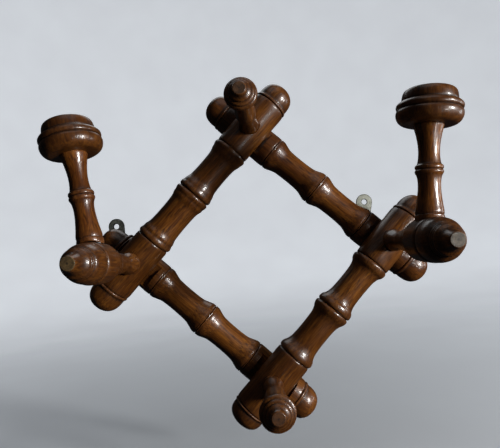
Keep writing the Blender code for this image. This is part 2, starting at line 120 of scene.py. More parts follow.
# ------------------------------------------------------------------ profiles
def spline(points, step=1.1):
    """Smooth (radius, height) outline through points; a third value of 1 keeps a corner."""
    runs, run = [], [points[0]]
    for point in points[1:]:
        run.append(point)
        if len(point) > 2:
            runs.append(run)
            run = [point]
    if len(run) > 1:
        runs.append(run)
    outline = [(points[0][0], points[0][1])]
    for run in runs:
        p = [np.array(q[:2], float) for q in run]
        p = [2 * p[0] - p[1]] + p + [2 * p[-1] - p[-2]]
        for i in range(1, len(p) - 2):
            a, b, c, d = p[i - 1:i + 3]
            knots = [0.0]
            for u, v in ((a, b), (b, c), (c, d)):
                knots.append(knots[-1] + max(np.linalg.norm(v - u), 1e-6) ** 0.5)
            t0, t1, t2, t3 = knots
            count = max(2, int(math.ceil(np.linalg.norm(c - b) / step)))
            for k in range(1, count + 1):
                t = t1 + (t2 - t1) * k / count
                a1 = (t1 - t) / (t1 - t0) * a + (t - t0) / (t1 - t0) * b
                a2 = (t2 - t) / (t2 - t1) * b + (t - t1) / (t2 - t1) * c
                a3 = (t3 - t) / (t3 - t2) * c + (t - t2) / (t3 - t2) * d
                b1 = (t2 - t) / (t2 - t0) * a1 + (t - t0) / (t2 - t0) * a2
                b2 = (t3 - t) / (t3 - t1) * a2 + (t - t1) / (t3 - t1) * a3
                q = (t2 - t) / (t2 - t1) * b1 + (t - t1) / (t2 - t1) * b2
                outline.append((max(float(q[0]), 0.0), float(q[1])))
    return outline


def relief(outline):
    """Hollow and crest of each outline point against its smoothed neighbourhood."""
    radius = np.array([p[0] for p in outline])
    height = np.array([p[1] for p in outline])
    away = np.hypot(np.diff(radius), np.diff(height))
    along = np.concatenate([[0.0], np.cumsum(away)])
    weight = np.gradient(along)
    near = np.exp(-((along[:, None] - along[None, :]) / 2.4) ** 2) * weight[None, :]
    smooth_r = (near @ radius) / near.sum(1)
    smooth_z = (near @ height) / near.sum(1)
    tangent_r, tangent_z = np.gradient(radius), np.gradient(height)
    size = np.hypot(tangent_r, tangent_z) + 1e-9
    out = ((radius - smooth_r) * -tangent_z + (height - smooth_z) * tangent_r) / size
    return np.clip(-out / 0.55, 0, 1), np.clip(out / 0.45, 0, 1)


def nearness(outline, cavity):
    """How close each outline point is to a groove: 1 in it, 0 far from it."""
    points = np.array([p[:2] for p in outline])
    along = np.concatenate([[0.0], np.cumsum(np.hypot(*np.diff(points, axis=0).T))])
    grooves = along[cavity > 0.45]
    if not len(grooves):
        return np.zeros(len(along))
    away = np.abs(along[:, None] - grooves[None, :]).min(1)
    return np.exp(-((away / 8.5) ** 1.4))


def turned_mesh(name, shells, segments, wobble=0.06, seed=0):
    """Closed turned mesh from (outline, matrix or None, end-grain spans) shells, millimetres."""
    verts, faces, hollow, crest, near, grain = [], [], [], [], [], []
    for outline, matrix, ends in shells:
        cavity, wear = relief(outline)
        close = nearness(outline, cavity)
        rings = []
        for i, (radius, height) in enumerate(outline):
            is_end = 1.0 if any(lo <= height <= hi and radius < rmax for lo, hi, rmax in ends) else 0.0
            steps = 1 if radius < 1e-6 else segments
            ring = []
            for k in range(steps):
                angle = TAU * k / segments
                r = radius
                if steps > 1:
                    r += wobble * min(1.0, radius / 8) * (
                        math.sin(2 * angle + seed + height * 0.021)
                        + 0.5 * math.sin(3 * angle - seed * 1.7 + height * 0.05)
                        + 0.6 * math.sin(angle + seed * 2.3 + height * 0.012))
                point = Vector((r * math.cos(angle), r * math.sin(angle), height)) * MM
                ring.append(len(verts))
                verts.append(matrix @ point if matrix else point)
                hollow.append(cavity[i])
                crest.append(wear[i])
                near.append(close[i])
                grain.append(is_end)
            rings.append(ring)
        for up, down in zip(rings, rings[1:]):
            for k in range(segments):
                j = (k + 1) % segments
                if len(up) == 1 and len(down) == 1:
                    break
                if len(up) == 1:
                    faces.append((up[0], down[k], down[j]))
                elif len(down) == 1:
                    faces.append((up[k], down[0], up[j]))
                else:
                    faces.append((up[k], down[k], down[j], up[j]))
    mesh = bpy.data.meshes.new(name)
    mesh.from_pydata(verts, [], faces)
    for label, values in (("hollow", hollow), ("crest", crest), ("near", near), ("end", grain)):
        layer = mesh.attributes.new(label, "FLOAT", "POINT")
        layer.data.foreach_set("value", np.array(values, np.float32))
    mesh.validate()
    mesh.update()
    return mesh


def new_object(name, data):
    obj = bpy.data.objects.new(name, data)
    bpy.context.scene.collection.objects.link(obj)
    return obj


def add(name, mesh, matrix, material, body, slot, *nodes, sharp=38.0):
    """Makes a visual piece that rides a body in the place of its CAD nodes."""
    mesh.shade_smooth()
    mesh.set_sharp_from_angle(angle=math.radians(sharp))
    obj = new_object(name, mesh)
    obj.matrix_world = matrix
    mesh.materials.clear()
    mesh.materials.append(material)
    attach(obj, body)
    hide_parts(*nodes)


def cut(mesh, cutters):
    """Mesh minus closed cutter meshes that are clear of each other, all in one frame."""
    tool = bpy.data.meshes.new("tool")
    bm = bmesh.new()
    for cutter in cutters:
        bm.from_mesh(cutter)
    bmesh.ops.recalc_face_normals(bm, faces=bm.faces)
    bm.to_mesh(tool)
    bm.free()
    body = new_object("cut_body", mesh)
    tool_obj = new_object("cut_tool", tool)
    modifier = body.modifiers.new("cut", "BOOLEAN")
    modifier.operation = "DIFFERENCE"
    modifier.solver = "EXACT"
    modifier.object = tool_obj
    bpy.context.view_layer.update()
    graph = bpy.context.evaluated_depsgraph_get()
    result = bpy.data.meshes.new_from_object(body.evaluated_get(graph))
    for obj in (body, tool_obj):
        bpy.data.objects.remove(obj, do_unlink=True)
    return result


def box_mesh(low, high):
    mesh = bpy.data.meshes.new("box")
    bm = bmesh.new()
    bmesh.ops.create_cube(bm, size=1.0)
    bmesh.ops.scale(bm, vec=[(high[i] - low[i]) * MM for i in range(3)], verts=bm.verts)
    bmesh.ops.translate(bm, vec=[(high[i] + low[i]) / 2 * MM for i in range(3)], verts=bm.verts)
    bm.to_mesh(mesh)
    bm.free()
    return mesh


def drill_mesh(outline, matrix, segments=48):
    """Round cutter from a (radius, height) outline, placed by matrix."""
    return turned_mesh("drill", [(outline, matrix, ())], segments, wobble=0.0)


# ------------------------------------------------------------------ materials
def node(tree, kind, **sockets):
    made = tree.nodes.new(kind)
    for key, value in sockets.items():
        made.inputs[key.replace("_", " ")].default_value = value
    return made


def ramp(tree, source, stops):
    made = tree.nodes.new("ShaderNodeValToRGB")
    elements = made.color_ramp.elements
    while len(elements) < len(stops):
        elements.new(0.5)
    for element, (place, colour) in zip(elements, stops):
        element.position = place
        element.color = (*colour, 1.0) if isinstance(colour, tuple) else (colour, colour, colour, 1.0)
    tree.links.new(source, made.inputs["Fac"])
    return made.outputs["Color"]


def mixed(tree, factor, a, b, blend="MIX"):
    made = tree.nodes.new("ShaderNodeMix")
    made.data_type = "RGBA"
    made.blend_type = blend
    for socket, value in ((made.inputs[0], factor), (made.inputs[6], a), (made.inputs[7], b)):
        if isinstance(value, (int, float)):
            socket.default_value = value
        elif isinstance(value, tuple):
            socket.default_value = (*value, 1.0)
        else:
            tree.links.new(value, socket)
    return made.outputs[2]


def maths(tree, operation, a, b=0.0, clamp=False):
    made = tree.nodes.new("ShaderNodeMath")
    made.operation = operation
    made.use_clamp = clamp
    for socket, value in zip(made.inputs, (a, b)):
        if isinstance(value, (int, float)):
            socket.default_value = value
        else:
            tree.links.new(value, socket)
    return made.outputs[0]


def weighted(tree, *terms):
    """Sum of (socket, weight) terms."""
    total = None
    for value, weight in terms:
        part = maths(tree, "MULTIPLY", value, weight)
        total = part if total is None else maths(tree, "ADD", total, part)
    return total


def noise(tree, coords, scale, detail, stretch, shift, rough, distortion=0.0):
    mapping = tree.nodes.new("ShaderNodeMapping")
    mapping.inputs["Scale"].default_value = stretch
    mapping.inputs["Location"].default_value = shift
    tree.links.new(coords, mapping.inputs["Vector"])
    made = node(tree, "ShaderNodeTexNoise", Scale=scale, Detail=detail, Roughness=rough,
                Distortion=distortion)
    tree.links.new(mapping.outputs[0], made.inputs["Vector"])
    return made.outputs["Fac"]


def attribute(tree, name):
    made = tree.nodes.new("ShaderNodeAttribute")
    made.attribute_name = name
    return made.outputs["Fac"]


def new_material(name):
    material = bpy.data.materials.new(name)
    material.use_nodes = True
    tree = material.node_tree
    shader = tree.nodes["Principled BSDF"]
    coords = tree.nodes.new("ShaderNodeTexCoord").outputs["Object"]
    return material, tree, shader, coords


def seed_shift(seed):
    return seed * 0.37, seed * 0.61, seed * 0.23


def add_bump(tree, height, strength, distance, *sockets):
    bump = tree.nodes.new("ShaderNodeBump")
    bump.inputs["Strength"].default_value = strength
    bump.inputs["Distance"].default_value = distance
    tree.links.new(height, bump.inputs["Height"])
    for socket in sockets:
        tree.links.new(bump.outputs["Normal"], socket)


def tinted(colour, factor):
    return tuple(factor * channel for channel in colour)


def wood(name, seed, tone=1.0, warm=1.0, gloss=1.0, end_tone=(0.16, 0.105, 0.060)):
    """Old shellac over turned beech: grain along local Z, dark grooves, rubbed crests."""
    material, tree, shader, coords = new_material(name)
    shift = seed_shift(seed)
    turned = (shift[1], shift[2], shift[0])
    broad = noise(tree, coords, 22.0, 3.0, (1, 1, 0.45), shift, 0.55)
    streak = noise(tree, coords, 400.0, 6.0, (1, 1, 0.06), shift, 0.66, 0.2)
    fine = noise(tree, coords, 1150.0, 3.0, (1, 1, 0.05), shift, 0.65)
    patchy = noise(tree, coords, 150.0, 4.0, (1, 1, 0.7), turned, 0.65)
    grain = weighted(tree, (streak, 0.58), (fine, 0.42))
    dark = tinted((0.030, 0.0085, 0.0020), tone)
    middle = tinted((0.076, 0.0245, 0.0042), tone)
    amber = tinted((0.165, 0.0620, 0.0095), tone * warm)
    body = ramp(tree, grain, ((0.35, dark), (0.50, middle), (0.68, amber)))
    patch = ramp(tree, broad, ((0.30, (0.62, 0.56, 0.50)), (0.50, (0.96, 0.95, 0.93)),
                               (0.70, (1.38, 1.42, 1.36))))
    colour = mixed(tree, 1.0, body, patch, "MULTIPLY")
    # open pores and short dark flecks in the grain
    pores = ramp(tree, noise(tree, coords, 850.0, 1.0, (1, 1, 0.10), turned, 0.5),
                 ((0.57, 0.0), (0.66, 1.0)))
    colour = mixed(tree, maths(tree, "MULTIPLY", pores, 0.65), colour, (0.012, 0.0045, 0.0020))
    flecks = ramp(tree, noise(tree, coords, 90.0, 2.0, (1, 1, 0.30), turned, 0.6),
                  ((0.69, 0.0), (0.78, 1.0)))
    colour = mixed(tree, maths(tree, "MULTIPLY", flecks, 0.55), colour, (0.016, 0.006, 0.003))
    # colour darkens towards the grooves, and the polish is rubbed thin on the crests
    hollow = attribute(tree, "hollow")
    crest = attribute(tree, "crest")
    groove_darkening = maths(tree, "MULTIPLY", attribute(tree, "near"),
                  ramp(tree, patchy, ((0.30, 1.0), (0.70, 0.45))))
    colour = mixed(tree, maths(tree, "MULTIPLY", groove_darkening, 0.72), colour,
                   tinted((0.022, 0.0072, 0.0026), tone))
    rub = maths(tree, "MULTIPLY", crest, ramp(tree, patchy, ((0.42, 0.1), (0.60, 1.0))))
    colour = mixed(tree, maths(tree, "MULTIPLY", rub, 0.38), colour, tinted((0.130, 0.052, 0.017), tone))
    grime = maths(tree, "MULTIPLY", hollow, ramp(tree, patchy, ((0.30, 1.0), (0.75, 0.8))), True)
    colour = mixed(tree, maths(tree, "MULTIPLY", grime, 0.96), colour, (0.0030, 0.0017, 0.0012))
    # bare end grain on the tips, with the lathe centre's mark
    end = attribute(tree, "end")
    rings = tree.nodes.new("ShaderNodeTexWave")
    rings.wave_type = "RINGS"
    rings.rings_direction = "Z"
    rings.inputs["Scale"].default_value = 150.0
    rings.inputs["Distortion"].default_value = 2.2
    rings.inputs["Detail"].default_value = 2.0
    tree.links.new(coords, rings.inputs["Vector"])
    speck = noise(tree, coords, 1200.0, 3.0, (1, 1, 1), shift, 0.7)
    sawn = mixed(tree, ramp(tree, rings.outputs["Fac"], ((0.2, 0.0), (0.8, 0.8))),
                 tinted(end_tone, 0.62), end_tone)
    sawn = mixed(tree, ramp(tree, speck, ((0.44, 0.6), (0.60, 0.0))), sawn, tinted(end_tone, 0.35))
    blur = noise(tree, coords, 240.0, 3.0, (1, 1, 1), shift, 0.6)
    sawn = mixed(tree, ramp(tree, blur, ((0.40, 0.0), (0.64, 0.8))), sawn, tinted(end_tone, 1.4))
    radial = tree.nodes.new("ShaderNodeVectorMath")
    radial.operation = "MULTIPLY"
    radial.inputs[1].default_value = (1.0, 1.0, 0.0)
    tree.links.new(coords, radial.inputs[0])
    reach = tree.nodes.new("ShaderNodeVectorMath")
    reach.operation = "LENGTH"
    tree.links.new(radial.outputs[0], reach.inputs[0])
    dot = ramp(tree, maths(tree, "MULTIPLY", reach.outputs["Value"], 1000.0 / 6.0),
               ((0.10, 1.0), (0.17, 0.0)))
    sawn = mixed(tree, maths(tree, "MULTIPLY", dot, 0.8), sawn, tinted(end_tone, 0.16))
    colour = mixed(tree, end, colour, sawn)
    tree.links.new(colour, shader.inputs["Base Color"])
    # gloss
    satin = noise(tree, coords, 60.0, 4.0, (1, 1, 0.6), shift, 0.6)
    rough = ramp(tree, satin, ((0.30, 0.26 / gloss), (0.70, 0.42 / gloss)))
    rough = maths(tree, "ADD", rough, maths(tree, "MULTIPLY", rub, 0.08))
    rough = maths(tree, "ADD", rough, maths(tree, "MULTIPLY", grime, 0.35))
    rough = maths(tree, "ADD", rough, maths(tree, "MULTIPLY", end, 0.35), True)
    tree.links.new(rough, shader.inputs["Roughness"])
    shader.inputs["Specular IOR Level"].default_value = 0.28
    shader.inputs["Coat Weight"].default_value = 0.26
    shader.inputs["Coat Roughness"].default_value = 0.11
    # relief: grain, turning marks, small dents and an uneven hand-worn surface
    lathe = tree.nodes.new("ShaderNodeTexWave")
    lathe.wave_type = "BANDS"
    lathe.bands_direction = "Z"
    lathe.inputs["Scale"].default_value = 480.0
    lathe.inputs["Distortion"].default_value = 1.2
    tree.links.new(coords, lathe.inputs["Vector"])
    dent = ramp(tree, noise(tree, coords, 120.0, 2.0, (1, 1, 0.7), shift, 0.5),
                ((0.22, 0.0), (0.36, 1.0)))
    wavy = noise(tree, coords, 55.0, 2.0, (1, 1, 0.5), shift, 0.5)
    height = weighted(tree, (fine, 0.30), (pores, -0.20), (lathe.outputs["Fac"], 0.030), (dent, 0.45),
                      (wavy, 1.1), (maths(tree, "MULTIPLY", speck, end), 0.9))
    add_bump(tree, height, 0.5, 0.00035, shader.inputs["Normal"], shader.inputs["Coat Normal"])
    return material


def raw_wood(name, seed):
    """Bare wedge wood, dry and dusty."""
    material, tree, shader, coords = new_material(name)
    shift = seed_shift(seed)
    streak = noise(tree, coords, 420.0, 4.0, (1, 0.05, 1), shift, 0.6)
    blotch = noise(tree, coords, 120.0, 3.0, (1, 1, 1), shift, 0.6)
    colour = ramp(tree, streak, ((0.30, (0.085, 0.045, 0.022)), (0.65, (0.260, 0.155, 0.080))))
    colour = mixed(tree, ramp(tree, blotch, ((0.35, 0.55), (0.65, 0.0))), colour, (0.040, 0.022, 0.012))
    tree.links.new(colour, shader.inputs["Base Color"])
    tree.links.new(ramp(tree, blotch, ((0.3, 0.62), (0.7, 0.85))), shader.inputs["Roughness"])
    add_bump(tree, streak, 0.6, 0.0002, shader.inputs["Normal"])
    return material


def old_metal(name, seed, light, dark, rust=0.5, hole_shade_dark_rim=False):
    """Tinned steel gone dull: mottled, spotted with rust, brighter where rubbed."""
    material, tree, shader, coords = new_material(name)
    shift = seed_shift(seed)
    mottle = noise(tree, coords, 170.0, 5.0, (1, 1, 1), shift, 0.62)
    brush = noise(tree, coords, 900.0, 3.0, (1, 1, 0.06), shift, 0.6)
    spot = noise(tree, coords, 330.0, 3.0, (1, 1, 1), (shift[1], shift[2], shift[0]), 0.6)
    blend = weighted(tree, (mottle, 0.8), (brush, 0.2))
    between = tuple((a + b) / 2 for a, b in zip(light, dark))
    colour = ramp(tree, blend, ((0.34, dark), (0.50, between), (0.64, light)))
    rusty = ramp(tree, spot, ((0.60, 0.0), (0.70, 1.0)))
    colour = mixed(tree, maths(tree, "MULTIPLY", rusty, rust), colour, (0.075, 0.038, 0.016))
    if hole_shade_dark_rim:
        # painted shade in a ring just outside the hanging hole, and darker along the rim
        parts = tree.nodes.new("ShaderNodeSeparateXYZ")
        tree.links.new(coords, parts.inputs[0])
        reach = maths(tree, "SQRT", maths(tree, "ADD", maths(tree, "POWER", parts.outputs["X"], 2.0),
                                          maths(tree, "POWER", parts.outputs["Z"], 2.0)))
        side = maths(tree, "ABSOLUTE", parts.outputs["X"])
        upper = maths(tree, "GREATER_THAN", parts.outputs["Z"], 0.0)
        out = maths(tree, "ADD", side, maths(tree, "MULTIPLY", upper, maths(tree, "SUBTRACT", reach, side)))
        # painted shade: darkens the hole's wall and a ring out to about 4.2 mm from the hole's centre
        hole_shade = ramp(tree, maths(tree, "MULTIPLY", reach, 100.0), ((0.34, 0.8), (0.42, 0.0)))
        rim = ramp(tree, maths(tree, "MULTIPLY", out, 100.0), ((0.80, 0.0), (0.88, 0.7)))
        colour = mixed(tree, maths(tree, "MAXIMUM", hole_shade, rim), colour, (0.020, 0.020, 0.016))
    tree.links.new(colour, shader.inputs["Base Color"])
    shader.inputs["Metallic"].default_value = 0.25
    rough = maths(tree, "ADD", ramp(tree, mottle, ((0.3, 0.62), (0.7, 0.38))),
                  maths(tree, "MULTIPLY", rusty, 0.25), True)
    tree.links.new(rough, shader.inputs["Roughness"])
    height = weighted(tree, (mottle, 0.6), (brush, 0.2))
    add_bump(tree, height, 0.5, 0.00018, shader.inputs["Normal"])
    return material


# ------------------------------------------------------------------ bars
def node_side(at, way, ridge, waist):
    """Rounded collar beside a groove, falling to the waist; way is +1 or -1 along the bar."""
    points = ((GROOVE_RADIUS, 0.0, 1), (18.3, 0.5), (18.9, 1.0), (ridge - 0.15, 1.9), (ridge, 3.1),
              (ridge - 0.25, 4.7), (ridge - 1.0, 6.9), (waist + 2.3, 9.6), (waist + 0.8, 14.5),
              (waist + 0.3, 19.5), (waist + 0.05, 26.0))
    return [(p[0], at + way * p[1]) + p[2:] for p in points]


def dome_side(at, length, way, girth):
    """Bead beside the groove, then the swelling rounded end of the bar."""
    k = length / 26.0
    bead = ((GROOVE_RADIUS, 0.0, 1), (18.2, 0.5), (18.7, 1.1), (18.75, 2.0), (18.3, 3.0))
    cap = ((17.7, 3.7), (17.45, 4.6), (17.55, 7.0), (17.5, 9.5), (17.05, 13.0), (15.9, 17.0), (13.4, 20.9),
           (9.6, 23.9), (5.0, 25.5), (0.0, 26.0))
    points = bead + tuple((radius * girth, height) for radius, height in cap)
    return [(p[0], at + way * p[1] * k) + p[2:] for p in points]


def barrel(upper, lower):
    """From the lower groove's side to the upper's: a stout length, slightly swollen."""
    quarter = (upper - lower) / 4
    return [(18.1, upper - 0.5), (18.6, upper - 1.3), (18.8, upper - quarter), (18.95, (upper + lower) / 2),
            (18.8, lower + quarter), (18.6, lower + 1.3), (18.1, lower + 0.5)]


def bar_outline(nodes, domes, ridge, waists, girth):
    """A whole bar from its far end: dome, stout length, two slender lengths, stout length, dome."""
    n1, n2, n3, n4, n5 = nodes
    outline = list(reversed(dome_side(n5, domes[1], 1, 1.0)))
    outline[0] = outline[0][:2]
    outline += barrel(n5, n4)
    for upper, lower, waist in ((n4, n3, waists[1]), (n3, n2, waists[0])):
        outline += node_side(upper, -1, ridge, waist)
        outline.append((waist, (upper + lower) / 2))
        outline += list(reversed(node_side(lower, 1, ridge, waist)))[:-1]
    outline.append((GROOVE_RADIUS, n2, 1))
    outline += barrel(n2, n1)
    outline += dome_side(n1, domes[0], -1, girth)
    return outline


# body, first and second crossing, axis depth, grooves along the bar, dome lengths, ridge, waists
BARS = {
    "front_bar_upper": ("upper_front", LEFT, TOP, FRONT_AXIS_Y,
                        (-32.0, 31.0, 96.0, 158.0, 222.0), (26.0, 23.5), 19.5, (16.1, 15.7)),
    "front_bar_lower": ("lower_front", BOTTOM, RIGHT, FRONT_AXIS_Y,
                        (-34.0, 34.0, 96.5, 159.5, 220.5), (18.5, 25.5), 19.5, (14.7, 14.3)),
    "rear_bar_upper": ("upper_rear", TOP, RIGHT, REAR_AXIS_Y,
                       (-34.0, 32.2, 95.3, 158.5, 219.5), (25.0, 26.5), 18.7, (14.4, 14.4)),
    "rear_bar_lower": ("lower_rear", LEFT, BOTTOM, REAR_AXIS_Y,
                       (-25.5, 30.5, 95.0, 158.0, 221.5), (26.0, 24.0), 18.7, (14.5, 14.4)),
}
# body, bar, hanging hole (x, z), lean in degrees
PLATES = {
    "left": ("lower_rear", "rear_bar_lower", (-163.5, 45.5), -4.0),
    "right": ("upper_rear", "rear_bar_upper", (125.0, 48.5), 11.5),
}


def plate_matrix(side):
    _, _, spot, lean = PLATES[side]
    return Matrix.Translation((spot[0] * MM, 0, spot[1] * MM)) @ Matrix.Rotation(math.radians(lean), 4, "Y")


def plate_outline(grow=0.0):
    """Strap with a round end about the hanging hole and a narrower one below."""
    points = []
    for radius, drop, start, steps in ((9.1, 0.0, 0.0, 32), (7.5, 40.0, math.pi, 28)):
        for k in range(steps + 1):
            angle = start + math.pi * k / steps
            points.append(((radius + grow) * math.cos(angle), (radius + grow) * math.sin(angle) - drop))
    return points


def prism(outline, low, high, bevel=0.0):
    """Flat outline (x, z) between two depths y, in millimetres."""
    mesh = bpy.data.meshes.new("prism")
    bm = bmesh.new()
    front = [bm.verts.new((x * MM, low * MM, z * MM)) for x, z in outline]
    back = [bm.verts.new((x * MM, high * MM, z * MM)) for x, z in outline]
    bm.faces.new(front)
    bm.faces.new(list(reversed(back)))
    for i in range(len(outline)):
        j = (i + 1) % len(outline)
        bm.faces.new((front[j], front[i], back[i], back[j]))
    bmesh.ops.recalc_face_normals(bm, faces=bm.faces)
    if bevel:
        rim = [e for e in bm.edges if abs(e.verts[0].co.y - e.verts[1].co.y) < 1e-7]
        bmesh.ops.bevel(bm, geom=rim, offset=bevel * MM, segments=3, profile=0.6, affect="EDGES")
    bm.to_mesh(mesh)
    bm.free()
    return mesh


SLIM_DOME = 0.87               # girth of the lower rear bar's left dome
UPPER_LAP_HALF = 21.3          # half length of an upper bar's lap flats along the bar
LOWER_LAP_HALF = 24.0          # the same on a lower bar, clear of the other at the fold limits
SEEDS = {"front_bar_upper": 1.3, "front_bar_lower": 2.9, "rear_bar_upper": 4.4, "rear_bar_lower": 6.1}


def make_bars():
    for name, (body, start, end, axis_y, nodes, domes, ridge, waists) in BARS.items():
        matrix = bar_matrix(start, end, axis_y)
        inverse = matrix.inverted()
        girth = SLIM_DOME if name == "rear_bar_lower" else 1.0
        outline = spline(bar_outline(nodes, domes, ridge, waists, girth))
        mesh = turned_mesh(name, [(outline, None, ())], BAR_SEGMENTS, 0.10, SEEDS[name])
        front = axis_y == FRONT_AXIS_Y
        sign = 1.0 if front else -1.0
        flat = sign * (abs(LAP_Y - axis_y) - LAP_CLEARANCE)
        tools = []
        half = LOWER_LAP_HALF if "lower" in name else UPPER_LAP_HALF
        for crossing in (0.0, SIDE):
            tools.append(box_mesh((-TOOL_REACH, min(flat, sign * TOOL_REACH), crossing - half),
                                  (TOOL_REACH, max(flat, sign * TOOL_REACH), crossing + half)))
        if not front:
            for corner in (start, end):
                place = inverse @ peg_matrix(Vector((corner.x, TOP.y, corner.z)), 0.0)
                tools.append(drill_mesh([(0, -30), (6.5, -30), (6.5, -36), (9.0, -47), (0, -47)], place))
            for side, (_, bar, _, _) in PLATES.items():
                if bar == name:
                    seat = prism(plate_outline(0.4), -2.3, 4.0)
                    seat.transform(inverse @ plate_matrix(side))
                    tools.append(seat)
        mesh = cut(mesh, tools)
        add(name + "_visual", mesh, matrix, wood(name + "_wood", SEEDS[name], 1.0 if front else 1.25),
            body, "bar_wood", name, sharp=34.0)


# ------------------------------------------------------------------ pegs
def side_outline(s, dome):
    """Side peg from its tip: bell, beads, domed shoulder, drum, and the stepped neck behind it."""
    head = (
        (5.05, SIDE_TIP), (5.45, 161.15), (5.75, 160.5), (6.3, 158.6), (7.0, 155.8), (7.9, 153.0), (8.8, 151.4),
        (9.7, 150.4), (10.7, 149.6), (11.45, 148.7), (11.75, 147.6), (11.5, 146.8), (10.9, 146.3, 1),
        (11.7, 146.0), (12.05, 145.3), (11.9, 144.6), (11.4, 144.1, 1), (12.3, 143.8), (12.7, 143.1),
        (12.55, 142.4), (12.2, 142.0, 1), (13.2, 141.4), (14.3, 139.9), (dome - 1.25, 137.4),
        (dome - 0.55, 134.6), (dome, 130.4), (dome, 127.2), (dome - 0.4, 125.4), (dome - 1.2, 124.6, 1),
        (16.4, 124.3), (17.1, 123.5), (17.45, 122.0), (DRUM_RADIUS, 117.0), (DRUM_RADIUS, 108.0),
        (17.45, 100.5), (17.2, 98.0), (16.5, 95.6), (15.3, 91.0), (14.3, 85.6), (13.8, 82.0), (13.5, 80.6),
        (12.7, 80.0, 1),
    )
    neck = (
        (13.0, 79.3), (12.8, 77.6), (11.7, 72.0), (10.6, 65.0), (9.95, 58.0), (9.8, 52.4), (9.5, 50.2),
        (8.8, 49.2, 1), (8.0, 45.0), (7.3, 40.5), (7.2, 36.5), (7.8, 32.0), (9.2, 27.6), (10.5, 24.0),
        (11.0, 20.6), (10.9, 17.0), (10.6, 15.2, 1), (0.0, 15.2),
    )
    return [(0.0, SIDE_TIP), (4.7, SIDE_TIP, 1)] + [(p[0] * s,) + p[1:] for p in head] + list(neck)


def plain_outline(knob, tip):
    """Top or bottom peg from its tip: stepped knob, neck with a low swelling, flared foot."""
    return (
        (0.0, tip), (5.2, tip, 1), (5.7, tip - 0.15), (6.05, tip - 0.7), (6.3, tip - 1.7), (7.0, tip - 3.3),
        (8.3, tip - 4.5), (9.3, tip - 5.2), (9.75, tip - 6.0), (9.6, tip - 6.7), (9.3, tip - 7.0, 1),
        (10.6, tip - 7.3), (11.8, tip - 7.9), (12.4, tip - 8.8), (12.35, tip - 9.6), (12.0, tip - 10.0, 1),
        (13.2, tip - 10.3), (knob - 0.45, tip - 11.2), (knob, tip - 12.8), (knob - 0.05, tip - 14.6),
        (knob - 0.9, tip - 17.2), (12.3, tip - 20.0), (10.7, tip - 22.8), (9.6, tip - 26.4), (9.2, tip - 31.0),
        (9.3, 66.0), (9.8, 58.0), (10.0, 53.0), (9.85, 50.4), (9.4, 48.8), (8.8, 48.0, 1), (8.3, 44.0),
        (8.05, 39.0), (8.3, 33.5), (9.1, 28.0), (9.9, 23.4), (10.2, 19.0), (10.1, 15.2, 1), (0.0, 15.2),
    )


def tenon_outline():
    """From inside the shank's foot through both bars to the spread end."""
    return [(0, 17.5), (10.9, 17.5), (10.9, SHOULDER), (6.2, SHOULDER), (6.2, 0), (6.2, -36.0), (7.9, -42.6),
            (7.6, -43.0), (0, -43.0)]


def add_peg(name, corner, body, outline, turn, lean, droop, seed, tone, end_tone, tip, off=(0.0, 0.0)):
    """A peg with its tenon and wedge; off shifts the shank's foot on the bar."""
    peg = peg_matrix(Vector((corner.x, TOP.y, corner.z)), turn)
    shank = Matrix.Translation((off[0] * MM, 0, off[1] * MM)) @ shank_matrix(peg, lean, droop)
    shells = [(spline(outline, 0.8), None, ((tip - 0.5, tip + 0.5, 5.4),)),
              (tenon_outline(), shank.inverted() @ peg, ((-44.0, -42.0, 9.0),))]
    mesh = turned_mesh(name, shells, PEG_SEGMENTS, 0.07, seed)
    material = wood(name + "_wood", seed, tone, end_tone=end_tone)
    add(name + "_visual", mesh, shank, material, body, "peg_wood", name)
    wedge = prism([(-1.0, -5.6), (1.0, -5.6), (1.0, 5.6), (-1.0, 5.6)], -43.25, -31.6)
    wedge.transform(Matrix.Rotation(math.radians(90.0), 4, "X") @ Matrix.Scale(-1, 4, (0, 1, 0)))
    bm = bmesh.new()
    bm.from_mesh(wedge)
    bmesh.ops.recalc_face_normals(bm, faces=bm.faces)
    bm.to_mesh(wedge)
    bm.free()
    add(name + "_wedge_visual", wedge, peg, raw_wood(name + "_wedge_wood", seed), body, "wedge_wood",
        name + "_wedge")
    return shank


# ------------------------------------------------------------------ hat rests
def stem_outline(s):
    """Stem from its top: two bamboo joints that flare at both ends."""
    points = (
        (0.0, 92.0), (11.0, 92.0, 1), (11.3, 91.2), (10.9, 89.2), (9.6, 84.0), (8.4, 77.0), (7.9, 70.5),
        (8.2, 64.5), (8.8, 61.0), (9.2, 60.0, 1), (10.1, 59.4), (10.6, 58.2), (10.5, 56.9), (9.8, 56.0, 1),
        (10.5, 55.2), (10.7, 54.0), (10.2, 52.6), (9.6, 51.7, 1), (8.9, 49.2), (8.5, 45.6), (8.5, 41.0),
        (9.1, 34.0), (10.1, 27.0), (10.8, 22.6), (10.5, 21.6, 1), (11.0, 21.1), (11.1, 20.0), (10.8, 18.7),
        (10.0, STEM_FOOT, 1), (0.0, STEM_FOOT),
    )
    return [(p[0] * s,) + tuple(p[1:]) for p in points]


def head_outline(s):
    """Mushroom head from its top: drum, bead, large round rim and flat underside."""
    points = (
        (0.0, 28.75), (9.0, 28.7), (15.0, 28.45), (18.0, 27.8), (19.7, 26.4), (20.6, 24.2), (21.05, 21.6),
        (21.2, 19.4), (21.0, 18.4, 1), (21.9, 18.0), (23.4, 17.2), (24.7, 15.9), (25.3, 14.5), (25.2, 13.1),
        (24.6, 12.1), (23.9, 11.6, 1), (24.6, 10.9), (25.2, 9.7), (25.4, 8.0), (25.0, 5.6), (23.9, 3.2),
        (22.2, 1.4), (20.4, 0.4), (19.0, 0.1), (12.0, 0.0), (0.0, 0.0),
    )
    return [(p[0] * s, HEAD_BASE + p[1]) + tuple(p[2:]) for p in points]


